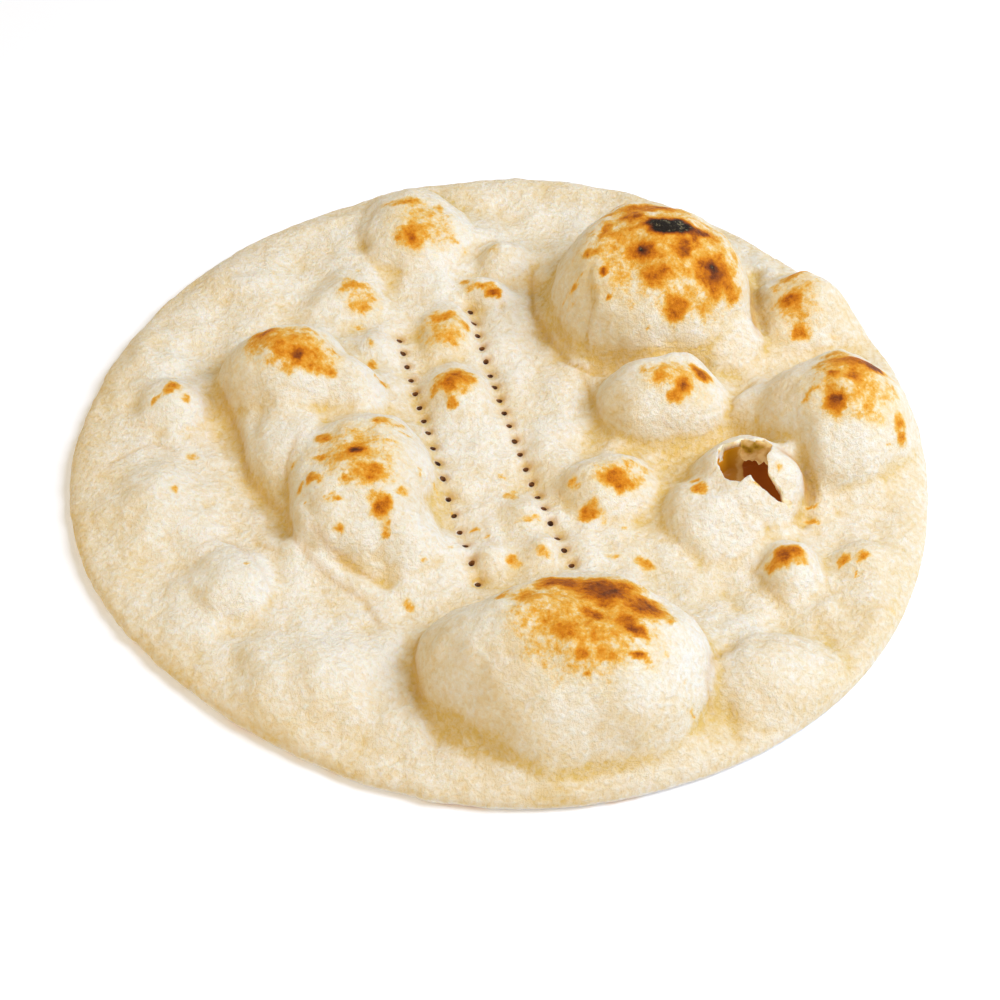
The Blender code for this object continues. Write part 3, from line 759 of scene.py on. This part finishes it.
# Its emission is a painted glow
INSIDE_FINISH_AND_GLOW = {"Roughness": 0.5, "IOR": 1.45, "Emission Strength": 0.6}
inside, tree, shader = new_material("steamed inside", INSIDE_FINISH_AND_GLOW)
at = add(tree, "TexCoord", {}).outputs["Object"]
wander = add(tree, "TexNoise", {"Vector": at, "Scale": 1 / INSIDE_PATCHES, "Detail": 4.0})
place = add(tree, "SeparateXYZ", {"Vector": at})
inputs = {"From Min": INSIDE_LEFT, "From Max": INSIDE_RIGHT, "To Min": -0.12, "To Max": 0.88}
across = add(tree, "MapRange", {"Value": place.outputs["X"], **inputs})
bent = add(
    tree, "Math", {0: wander.outputs["Fac"], 1: INSIDE_WANDER, 2: across.outputs["Result"]},
    operation="MULTIPLY_ADD",
)
ramp = add(tree, "ValToRGB", {"Fac": bent.outputs[0]})
fill_ramp(ramp, INSIDE_LIT_AND_SHADED_COLOURS)
# Painted shade, darker lower in the hollow
inputs = {"From Min": INSIDE_DEEP, "From Max": INSIDE_HIGH, "To Min": 0.55, "To Max": 0.0}
deep = add(tree, "MapRange", {"Value": place.outputs["Z"], **inputs})
deepened = add(
    tree, "Mix", {"Factor": deep.outputs["Result"], "A": ramp.outputs["Color"], "B": INSIDE_SHADE},
    data_type="RGBA",
)
tree.links.new(deepened.outputs["Result"], shader.inputs["Base Color"])
tree.links.new(deepened.outputs["Result"], shader.inputs["Emission Color"])

# Edge of the tear: the skin in section, white with an amber tint here and there. Light goes into it, which
# keeps the thin edge bright.
TORN_LIGHT = {"Subsurface Weight": 0.3, "Subsurface Radius": (1.0, 0.6, 0.3), "Subsurface Scale": 1 * MM}
torn, shader, colour = mottled_material(
    "torn skin", {"Roughness": 0.6, **TORN_LIGHT}, patch_size=4 * MM, detail=2.0,
    colours=((0.35, "#FBF3E0"), (0.58, "#F1DDAE"), (0.70, "#E0AE5C")),
)

# Prick hole: dough that dried out and scorched inside the narrow hole, so it is a dull, mottled dark brown.
scorched, shader, colour = mottled_material(
    "scorched hole", {"Roughness": 0.8}, patch_size=2 * MM, detail=2.0,
    colours=((0.35, "#40200A"), (0.65, "#804E1E")),
)

# Hanging skin: a scrap of the torn skin that hangs into the hole from its back edge, tan with olive patches.
# It is thin enough for light to come through, and a painted glow in its own colour stands in for that.
hanging, shader, colour = mottled_material(
    "hanging skin", {"Roughness": 0.6, "Emission Strength": 0.25}, patch_size=5 * MM, detail=4.0,
    colours=((0.40, "#E2CC96"), (0.54, "#D0AE6C"), (0.64, "#B5922E"), (0.74, "#8A5F14")),
)
hanging.node_tree.links.new(colour, shader.inputs["Emission Color"])

# The hollow, the tear and the prick holes are cut out of the bread, and the scrap joins it. The crust is the
# bread's first material, and its colours follow once the toasting is known.
scrap = make_scrap()
cutters = ((make_hollow(), inside), (make_tear(), torn), (make_pins(), scorched))
CRUST_FINISH = {"Roughness": 0.62, "IOR": 1.45, "Specular IOR Level": 0.25}
CRUST_LIGHT = {"Subsurface Weight": 0.2, "Subsurface Radius": (1.0, 0.75, 0.4), "Subsurface Scale": 2.5 * MM}
crust, tree, shader = new_material("baked crust", {**CRUST_FINISH, **CRUST_LIGHT})
naan.data.materials.append(crust)
for cutter, finish in cutters:
    cutter.data.materials.append(finish)
    modifier = naan.modifiers.new(cutter.name, "BOOLEAN")
    modifier.operation = "DIFFERENCE"
    modifier.solver = "MANIFOLD"
    modifier.material_mode = "TRANSFER"
    modifier.object = cutter
bpy.context.view_layer.update()
cut_mesh = bpy.data.meshes.new_from_object(naan.evaluated_get(bpy.context.evaluated_depsgraph_get()))
naan.modifiers.clear()
cut_mesh.materials.append(hanging)
joined = bmesh.new()
joined.from_mesh(cut_mesh)
scrap.data.polygons.foreach_set("material_index", [len(cut_mesh.materials) - 1] * len(scrap.data.polygons))
joined.from_mesh(scrap.data)
joined.to_mesh(cut_mesh)
joined.free()
naan.data = cut_mesh
for loose in (*(cutter for cutter, finish in cutters), scrap):
    bpy.data.objects.remove(loose)

# Toasting
# The tops of the blisters stand nearest to the oven's heat. They colour in spots with ragged edges, from
# pale gold over orange and brown to black, and small freckles lie between them. A spot has its middle's x
# and y and its half widths along x and y, all in millimetres, and its heat, which is 1 for a dark brown.
TOASTED = {
    "great dome": (
        (66, 77, 36, 28, 0.45), (69, 83, 13, 5.5, 1.5), (81, 84, 6, 3, 0.95), (54, 91, 3.5, 5, 0.8),
        (58, 71, 7.5, 6, 0.85), (57, 71, 3, 2.5, 1.0), (74, 74, 5, 8, 0.8), (63, 61, 7, 5, 0.75),
        (86, 67, 9, 10, 0.8), (86, 68, 4, 6, 1.0), (71, 51, 6, 4, 0.75), (37, 75, 3, 3, 0.7),
        (44, 85, 3, 8, 0.65), (49, 78, 6, 3.5, 0.55), (93, 65, 5, 5, 0.6), (62, 98, 19, 5, 0.7),
        (80, 55, 12, 4, 0.35), (33, 67, 2, 1.5, 0.45), (29, 66, 2.5, 1.5, 0.5), (28, 61, 2, 1, 0.35),
        (53, 51, 2, 1.5, 0.3), (58, 45, 3, 1, 0.3), (95, 81, 2.5, 5, 0.4), (42, 63, 1.5, 2, 0.85),
        (44, 56, 1, 1.5, 0.8), (66, 104, 16, 7, 0.35), (48, 106, 5, 3.5, 0.55), (78, 108, 6, 4, 0.6),
    ),
    "right dome": (
        (136, 6, 20, 17, 0.4), (138, 18, 15, 5.5, 0.75), (146, 18, 5.5, 3.5, 1.0), (129, 8, 3.5, 4, 0.65),
        (137, 8, 6, 5.5, 0.7), (129, -3, 4.5, 4, 0.8), (120, 2, 3, 2, 0.45), (143, -5, 6, 3.5, 0.45),
        (153, 9, 2, 5, 0.45), (155, -5, 3, 4, 0.6), (151, -12, 2, 1, 0.35), (133, 26, 7, 4, 0.5),
    ),
    "front dome": (
        (30, -118, 31, 26, 0.42), (23, -98, 11, 7, 0.85), (38, -102, 14, 11, 0.88), (51, -108, 9, 8, 0.85),
        (44, -119, 4.5, 6.5, 0.8), (48, -122, 5, 3, 0.8), (28, -133, 3, 2.5, 0.75), (36, -134, 5, 2.5, 0.6),
        (48, -133, 4, 2, 0.85), (30, -138, 2.5, 1.5, 0.55), (9, -122, 2, 2, 0.5), (15, -121, 2, 2, 0.5),
        (22, -125, 6, 4.5, 0.65), (32, -115, 4.5, 3.5, 0.8), (10, -108, 7, 6, 0.6), (2, -103, 3.5, 3.5, 0.5),
        (33, -127, 2, 2.5, 0.6), (60, -112, 1.5, 6, 0.5), (59, -128, 1.5, 2, 0.4), (67, -138, 1.5, 1, 0.4),
        (64, -133, 1, 2, 0.35), (26, -94, 9, 4, 0.6), (48, -96, 5, 4, 0.55),
    ),
    "bubble before the great dome": (
        (70, 19, 17, 11, 0.35), (80, 25, 5.5, 3.5, 0.8), (72, 15, 5, 4.5, 0.7), (69, 11, 4, 3, 0.6),
        (63, 18, 4, 3.5, 0.5), (57, 21, 3, 3, 0.45),
    ),
    "left back dome": (
        (-83, 32, 22, 11, 0.45), (-92, 39, 8, 3.5, 0.7), (-100, 35, 3.5, 3, 0.5), (-79, 27, 13, 5, 0.6),
        (-79, 26, 3, 3, 0.95), (-67, 25, 3, 2, 0.5), (-67, 33, 3, 2.5, 0.4), (-84, 47, 6, 3, 0.45),
    ),
    "left middle dome": (
        (-54, -22, 22, 20, 0.32), (-55, -23, 8, 7.5, 0.6), (-55, -23, 4, 3, 1.0), (-48, -33, 7, 7, 0.6),
        (-56, -36, 5.5, 3, 0.5), (-44, -47, 5, 6, 0.7), (-43, -55, 2, 2.5, 0.5), (-67, -11, 4, 4, 0.6),
        (-68, -23, 3, 2, 0.55), (-69, -34, 3.5, 3, 0.6), (-75, -34, 2, 1.5, 0.5), (-79, -19, 1.5, 2.5, 0.4),
        (-60, -42, 2.5, 1.5, 0.45), (-64, -44, 2.5, 1, 0.4), (-60, -53, 3, 2, 0.5), (-74, -42, 1, 1.5, 0.4),
        (-44, -4, 6, 3.5, 0.5), (-37, -8, 2.5, 1.5, 0.4), (-41, -17, 2.5, 1.5, 0.4), (-43, -27, 2, 2, 0.4),
        (-37, -38, 3, 3, 0.45), (-20, -33, 1, 3, 0.4), (-30, -26, 1, 2, 0.35), (-24, -23, 1, 2.5, 0.35),
        (-28, -63, 1.5, 1.5, 0.4), (-18, -54, 1, 2, 0.4), (-33, -81, 3.5, 2.5, 0.55),
    ),
    "back bubble": (
        (-32, 120, 19, 15, 0.32), (-36, 113, 8.5, 8, 0.55), (-37, 112, 3.5, 3, 0.8),
        (-41, 132, 9.5, 3.5, 0.45), (-26, 130, 3, 3.5, 0.45), (-20, 114, 3, 2, 0.45),
        (-15, 113, 1.5, 1.5, 0.35),
    ),
    "back left of the sheet": (
        (-57, 82, 10, 12, 0.3), (-60, 87, 5, 4.5, 0.5), (-58, 77, 5.5, 2.5, 0.5), (-53, 81, 2.5, 2, 0.4),
        (-58, 68, 4.5, 2, 0.4), (-53, 55, 2, 2, 0.4), (-51, 45, 4, 3, 0.5), (-47, 31, 3.5, 2, 0.4),
        (-59, 99, 1.5, 2, 0.3), (-95, 99, 2, 2, 0.25), (-95, 92, 1.5, 2, 0.25),
    ),
    "strip between the prick rows": (
        (-23, 64, 13, 12, 0.32), (-24, 71, 6.5, 4, 0.6), (-14, 66, 3, 3.5, 0.45), (-23, 60, 4.5, 3, 0.45),
        (-20, 56, 3.5, 1.5, 0.4), (-18, 31, 7.5, 8, 0.75), (-24, 29, 3.5, 3.5, 0.55),
        (-18, 21, 2.5, 4, 0.55), (4, -24, 3, 3.5, 0.45), (13, -41, 4, 2, 0.45), (7, -42, 2, 1, 0.4),
        (0, -14, 1.5, 1.5, 0.4), (-10, -42, 2.5, 1.5, 0.4), (-4, -46, 1.5, 2, 0.4), (6, -61, 3.5, 3, 0.5),
        (17, -58, 3, 2.5, 0.45),
    ),
    "behind the strip": (
        (-14, 93, 3.5, 3.5, 0.5), (-8, 88, 6.5, 2.5, 0.6), (-2, 85, 4, 2.5, 0.85), (-2, 109, 3.5, 3, 0.35),
    ),
    "back right bubble": (
        (121, 70, 13, 18, 0.32), (120, 72, 5.5, 4.5, 0.75), (121, 86, 8, 4, 0.5), (123, 58, 5, 3.5, 0.65),
        (138, 59, 3, 1.5, 0.3), (114, 82, 3, 4, 0.4), (125, 65, 3, 2.5, 0.4),
    ),
    "right middle of the sheet": (
        (76, -33, 3.5, 3.5, 0.5), (75, -27, 2, 2, 0.45), (46, -23, 14, 10, 0.32), (45, -25, 8, 6, 0.65),
        (51, -16, 5, 3, 0.45), (57, -17, 2.5, 3, 0.4), (35, -38, 6, 3.5, 0.6), (29, -26, 3.5, 2, 0.45),
        (48, -42, 2.5, 2, 0.4), (55, -62, 5.5, 2.5, 0.55), (42, -58, 2.5, 2, 0.35), (118, -38, 4.5, 2, 0.45),
        (120, -31, 3, 1.5, 0.4), (97, -34, 2, 1.5, 0.35), (106, -26, 1.5, 2, 0.3),
    ),
    "right front of the sheet": (
        (106, -64, 7, 5, 0.75), (111, -67, 2.5, 2, 0.45), (129, -62, 3, 2.5, 0.55), (136, -63, 3, 2.5, 0.6),
        (133, -68, 1.5, 1.5, 0.5), (145, -83, 2, 2.5, 0.35),
    ),
    "left of the sheet": (
        (-130, 24, 4, 4, 0.6), (-135, 20, 2, 2, 0.45), (-124, 20, 2.5, 2, 0.45), (-123, 10, 2, 2, 0.25),
        (-120, -5, 3, 3.5, 0.4), (-124, -28, 2, 4, 0.45), (-94, -67, 1.5, 2, 0.4),
        (-133, -64, 1.5, 1.5, 0.25),
    ),
}
TOAST_WANDER = ((9 * MM, 2.4 * MM), (4 * MM, 1.5 * MM), (2 * MM, 0.6 * MM))
TOAST_LAYERS = (2.9, 8.3)

# A spot ends at TOAST_EDGE times its half width, fades over TOAST_FADE times it, and the hottest one rules
TOAST_EDGE = 1.6
TOAST_FADE = 1.4
TOAST_MEETING = 6.0

# Skin that faces down is toasted in its own way, and skin that faces away from the key light, the way given
# below, gets a painted straw shade
UNDERSIDE_FACING = 0.5
UNDERSIDE_BLEND = 3.0
AWAY_FROM_KEY_LIGHT = np.array((-0.95, -0.45, -0.12))


def toast_at(places):
    """How far the crust is toasted at each place, from 0 for pale to more than 1 for black."""
    x, y = places[:, 0].copy(), places[:, 1].copy()
    for length, height in TOAST_WANDER:
        x += height * noise_at(places, length, TOAST_LAYERS[0])
        y += height * noise_at(places, length, TOAST_LAYERS[1])
    ruled = np.zeros(len(places))
    for spots in TOASTED.values():
        for spot_x, spot_y, half_x, half_y, heat in spots:
            reach = np.hypot((x - spot_x * MM) / half_x, (y - spot_y * MM) / half_y) / MM
            ruled += (heat * smooth_step((TOAST_EDGE - reach) / TOAST_FADE)) ** TOAST_MEETING
    return ruled ** (1 / TOAST_MEETING)


def read_vertices(mesh, name):
    """One row of three numbers for each vertex of a mesh."""
    values = np.empty(len(mesh.vertices) * 3)
    mesh.vertices.foreach_get(name, values)
    return values.reshape(-1, 3)


places = read_vertices(naan.data, "co")
normals = read_vertices(naan.data, "normal")
facing_down = smooth_step((-normals[:, 2] - UNDERSIDE_FACING) * UNDERSIDE_BLEND)
# Painted shade on the wall of each prick's funnel, up and to the right of its hole
funnel_shades = np.zeros(len(places))
for row in PRICK_ROWS:
    for x, y in prick_places(row):
        near = np.hypot(places[:, 0] - x - FUNNEL_SHADE_LEAN, places[:, 1] - y - FUNNEL_SHADE_LEAN) / FUNNEL_SHADE_RADIUS
        funnel_shades = np.maximum(funnel_shades, np.exp(-near**2))
store(naan.data, "toast", toast_at(places) * (1.0 - facing_down))
store(naan.data, "underside", facing_down)
store(naan.data, "funnel", funnel_shades)
# Painted straw shade on the skin that faces away from the key light
store(naan.data, "away_from_key_light", smooth_step(normals @ AWAY_FROM_KEY_LIGHT))

# Crust
# Crust of a white-flour dough: a thin dry skin, cream with straw-coloured patches where it is thin, dusted
# with flour, whiter on the crests of its fine grain and with a painted straw shade in its hollows, and
# toasted where the list above says. Light goes a little way into it.
CREAM = srgb("#FAF5EB")
STRAW = srgb("#E7C574")
# Gold painted as shade in creases and in the prick funnels
SHADE_GOLD = srgb("#CB9030")
CHAR_FLECKS = srgb("#857C60")
MOST_STRAW = 0.84
CREASE_SHADE_GOLD = 1.5
FUNNEL_SHADE_GOLD = 1.6
MOST_HEAT = 1.2
SKIN_GRAIN = 1.7 * MM

# Each pattern has its size, detail, roughness and distortion
PATTERNS = {
    "straw patches": (22 * MM, 3.0, 0.5, 0.0),
    "flour speckle": (2.2 * MM, 6.0, 0.68, 0.2),
    "underside spots": (20 * MM, 4.0, 0.55, 0.0),
    "toast clumps": (5 * MM, 3.0, 0.6, 0.0),
    "toast grain": (1.6 * MM, 4.0, 0.7, 0.0),
}

# Each effect comes from a pattern, and turns a range of it into a range of straw, of heat or of flecks
EFFECTS = {
    "straw": ("straw patches", 0.35, 0.7, 0.0, 0.32),
    "flour": ("flour speckle", 0.34, 0.66, 0.26, -0.26),
    "underside": ("underside spots", 0.45, 0.78, 0.12, 0.8),
    "clumps": ("toast clumps", 0.3, 0.7, 0.55, 1.3),
    "grain": ("toast grain", 0.3, 0.7, 0.7, 1.3),
    "flecks": ("toast grain", 0.56, 0.64, 0.0, 1.0),
}

# Over a range of each stored value the skin is painted with a straw shade, up to a share
STRAW_SHADE_TINTS = {
    "pucker": (0.0, 0.5, 0.4),
    "fold": (0.4, 5.0, 0.42),
    "valley": (1.0, 12.0, 0.48),
    "away_from_key_light": (0.0, 1.0, 0.25),
    "rim": (0.0, 1.0, 0.32),
}
TOAST_COLOURS = (
    (0.13, "#F8E2AC"), (0.24, "#F4C869"), (0.35, "#EDAA3A"), (0.46, "#E39016"), (0.56, "#CF7704"),
    (0.66, "#AC5A06"), (0.75, "#864214"), (0.83, "#5C2C12"), (0.92, "#1E1712"),
)
at = add(tree, "TexCoord", {}).outputs["Object"]
patterns = {}
for name, (spacing, detail, roughness, distortion) in PATTERNS.items():
    inputs = {"Scale": 1 / spacing, "Detail": detail, "Roughness": roughness, "Distortion": distortion}
    patterns[name] = add(tree, "TexNoise", {"Vector": at, **inputs}).outputs["Fac"]
effects = {}
for name, (pattern, start, end, low, high) in EFFECTS.items():
    inputs = {"Value": patterns[pattern], "From Min": start, "From Max": end, "To Min": low, "To Max": high}
    effects[name] = add(tree, "MapRange", inputs).outputs["Result"]
stored = {}
for name in ("crease", "funnel", "underside", "toast", *STRAW_SHADE_TINTS):
    stored[name] = add(tree, "Attribute", {}, attribute_name=name).outputs["Fac"]

# The pale skin is cream, with straw in patches and as painted shade in folds, in valleys, away from the key
# light and at the rim, and gold as painted shade in creases and funnels
straw_and_shade_share = effects["straw"]
for name, (start, end, most) in STRAW_SHADE_TINTS.items():
    inputs = {"Value": stored[name], "From Min": start, "From Max": end, "To Min": 0.0, "To Max": most}
    tinted = add(tree, "MapRange", inputs)
    straw_and_shade_share = add(tree, "Math", {0: straw_and_shade_share, 1: tinted.outputs["Result"]}).outputs[0]
straw_and_shade_share = add(tree, "Clamp", {"Value": straw_and_shade_share, "Max": MOST_STRAW})
# Flour and painted shade of the fine grain: whiter on its crests, straw in its hollows
floured = add(tree, "Math", {0: straw_and_shade_share.outputs[0], 1: effects["flour"]}, use_clamp=True)
straw_and_shade_tinted = add(tree, "Mix", {"Factor": floured.outputs[0], "A": CREAM, "B": STRAW}, data_type="RGBA")
in_funnel = add(tree, "Math", {0: stored["funnel"], 1: FUNNEL_SHADE_GOLD}, operation="MULTIPLY")
sunk = add(
    tree, "Math", {0: stored["crease"], 1: CREASE_SHADE_GOLD, 2: in_funnel.outputs[0]}, operation="MULTIPLY_ADD",
)
shade_gold_share = add(tree, "Math", {0: sunk.outputs[0], 1: patterns["flour speckle"]}, operation="MULTIPLY")
pale = add(
    tree, "Mix", {"Factor": shade_gold_share.outputs[0], "A": straw_and_shade_tinted.outputs["Result"], "B": SHADE_GOLD},
    data_type="RGBA",
)

# Heat is uneven in clumps and grains, less so where it is high, and the underside has spots of its own
under_toast = add(tree, "Math", {0: stored["underside"], 1: effects["underside"]}, operation="MULTIPLY")
toast = add(tree, "Math", {0: stored["toast"], 1: under_toast.outputs[0]}, operation="MAXIMUM")
uneven = add(tree, "Math", {0: effects["clumps"], 1: effects["grain"]}, operation="MULTIPLY")
steadier = add(
    tree, "MapRange",
    {"Value": toast.outputs[0], "From Min": 0.4, "From Max": 0.9, "To Min": 1.0, "To Max": 0.28},
)
change = add(tree, "Math", {0: uneven.outputs[0], 1: 1.0}, operation="SUBTRACT")
spread = add(
    tree, "Math", {0: change.outputs[0], 1: steadier.outputs["Result"], 2: 1.0}, operation="MULTIPLY_ADD",
)
heat = add(tree, "Math", {0: toast.outputs[0], 1: spread.outputs[0]}, operation="MULTIPLY")

# Toasted colours cover the pale skin as the heat rises, and grey flecks lie on what is charred
shown_heat = add(tree, "Math", {0: heat.outputs[0], 1: 1 / MOST_HEAT}, operation="MULTIPLY")
browned = add(tree, "ValToRGB", {"Fac": shown_heat.outputs[0]})
fill_ramp(browned, TOAST_COLOURS)
share = add(
    tree, "MapRange",
    {"Value": heat.outputs[0], "From Min": 0.07, "From Max": 0.38, "To Min": 0.0, "To Max": 1.0},
    interpolation_type="SMOOTHSTEP",
)
baked = add(
    tree, "Mix",
    {"Factor": share.outputs["Result"], "A": pale.outputs["Result"], "B": browned.outputs["Color"]},
    data_type="RGBA",
)
charred = add(
    tree, "MapRange",
    {"Value": heat.outputs[0], "From Min": 0.95, "From Max": 1.15, "To Min": 0.0, "To Max": 0.8},
)
flecks = add(tree, "Math", {0: charred.outputs["Result"], 1: effects["flecks"]}, operation="MULTIPLY")
flecked = add(
    tree, "Mix", {"Factor": flecks.outputs[0], "A": baked.outputs["Result"], "B": CHAR_FLECKS},
    data_type="RGBA",
)
tree.links.new(flecked.outputs["Result"], shader.inputs["Base Color"])
bumped = add(tree, "Bump", {"Height": patterns["flour speckle"], "Strength": 1.0, "Distance": SKIN_GRAIN})
tree.links.new(bumped.outputs["Normal"], shader.inputs["Normal"])

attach(naan, "root")
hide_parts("naan")
naan.data.shade_smooth()

# Floor, light and camera
# A white sweep under soft studio light: a cool soft box high on the right, a weaker warm one on the front
# left, and cream walls all around.
CAMERA_TARGET = Vector((0.3 * MM, -20.2 * MM, 0.0))
CAMERA_DISTANCE = 919.5 * MM
CAMERA_ELEVATION = math.radians(47.5)
FLOOR_HALF_WIDTH = 3.0
FLOOR_DROP = 0.2 * MM
camera_data = bpy.data.cameras.new("camera")
camera_data.lens = 85
camera_data.sensor_width = 36
camera = put_in_scene("camera", camera_data)
bpy.context.scene.camera = camera
camera_way = Vector((0.0, -math.cos(CAMERA_ELEVATION), math.sin(CAMERA_ELEVATION)))
camera.location = CAMERA_TARGET + camera_way * CAMERA_DISTANCE
camera.rotation_euler = (-camera_way).to_track_quat("-Z", "Y").to_euler()

floor_mesh = bmesh.new()
bmesh.ops.create_grid(floor_mesh, x_segments=1, y_segments=1, size=FLOOR_HALF_WIDTH)
floor = finished("floor", floor_mesh)
floor.location.z = -FLOOR_DROP
PAPER_GLOW = {"Emission Color": srgb("#DCE6FF"), "Emission Strength": 0.14}
paper, tree, shader = new_material(
    "matt white paper", {"Base Color": srgb("#F6F8FF"), "Roughness": 0.9, **PAPER_GLOW},
)
floor.data.materials.append(paper)

world = bpy.data.worlds.new("white studio")
bpy.context.scene.world = world
world.use_nodes = True
world.node_tree.nodes["Background"].inputs["Color"].default_value = srgb("#FBF0D2")
world.node_tree.nodes["Background"].inputs["Strength"].default_value = 0.45


def soft_box(name, location, width, power, colour):
    """A square soft light that faces the bread."""
    data = bpy.data.lights.new(name, "AREA")
    data.size = width
    data.energy = power
    data.color = srgb(colour)[:3]
    made = put_in_scene(name, data)
    made.location = location
    made.rotation_euler = (-Vector(location)).to_track_quat("-Z", "Y").to_euler()


soft_box("key light", location=(0.95, -0.1, 1.15), width=0.8, power=22.5, colour="#E4EEFF")
soft_box("fill light", location=(-0.9, -0.7, 1.0), width=1.0, power=7.0, colour="#FFE2AE")
bpy.context.scene.view_settings.view_transform = "Standard"
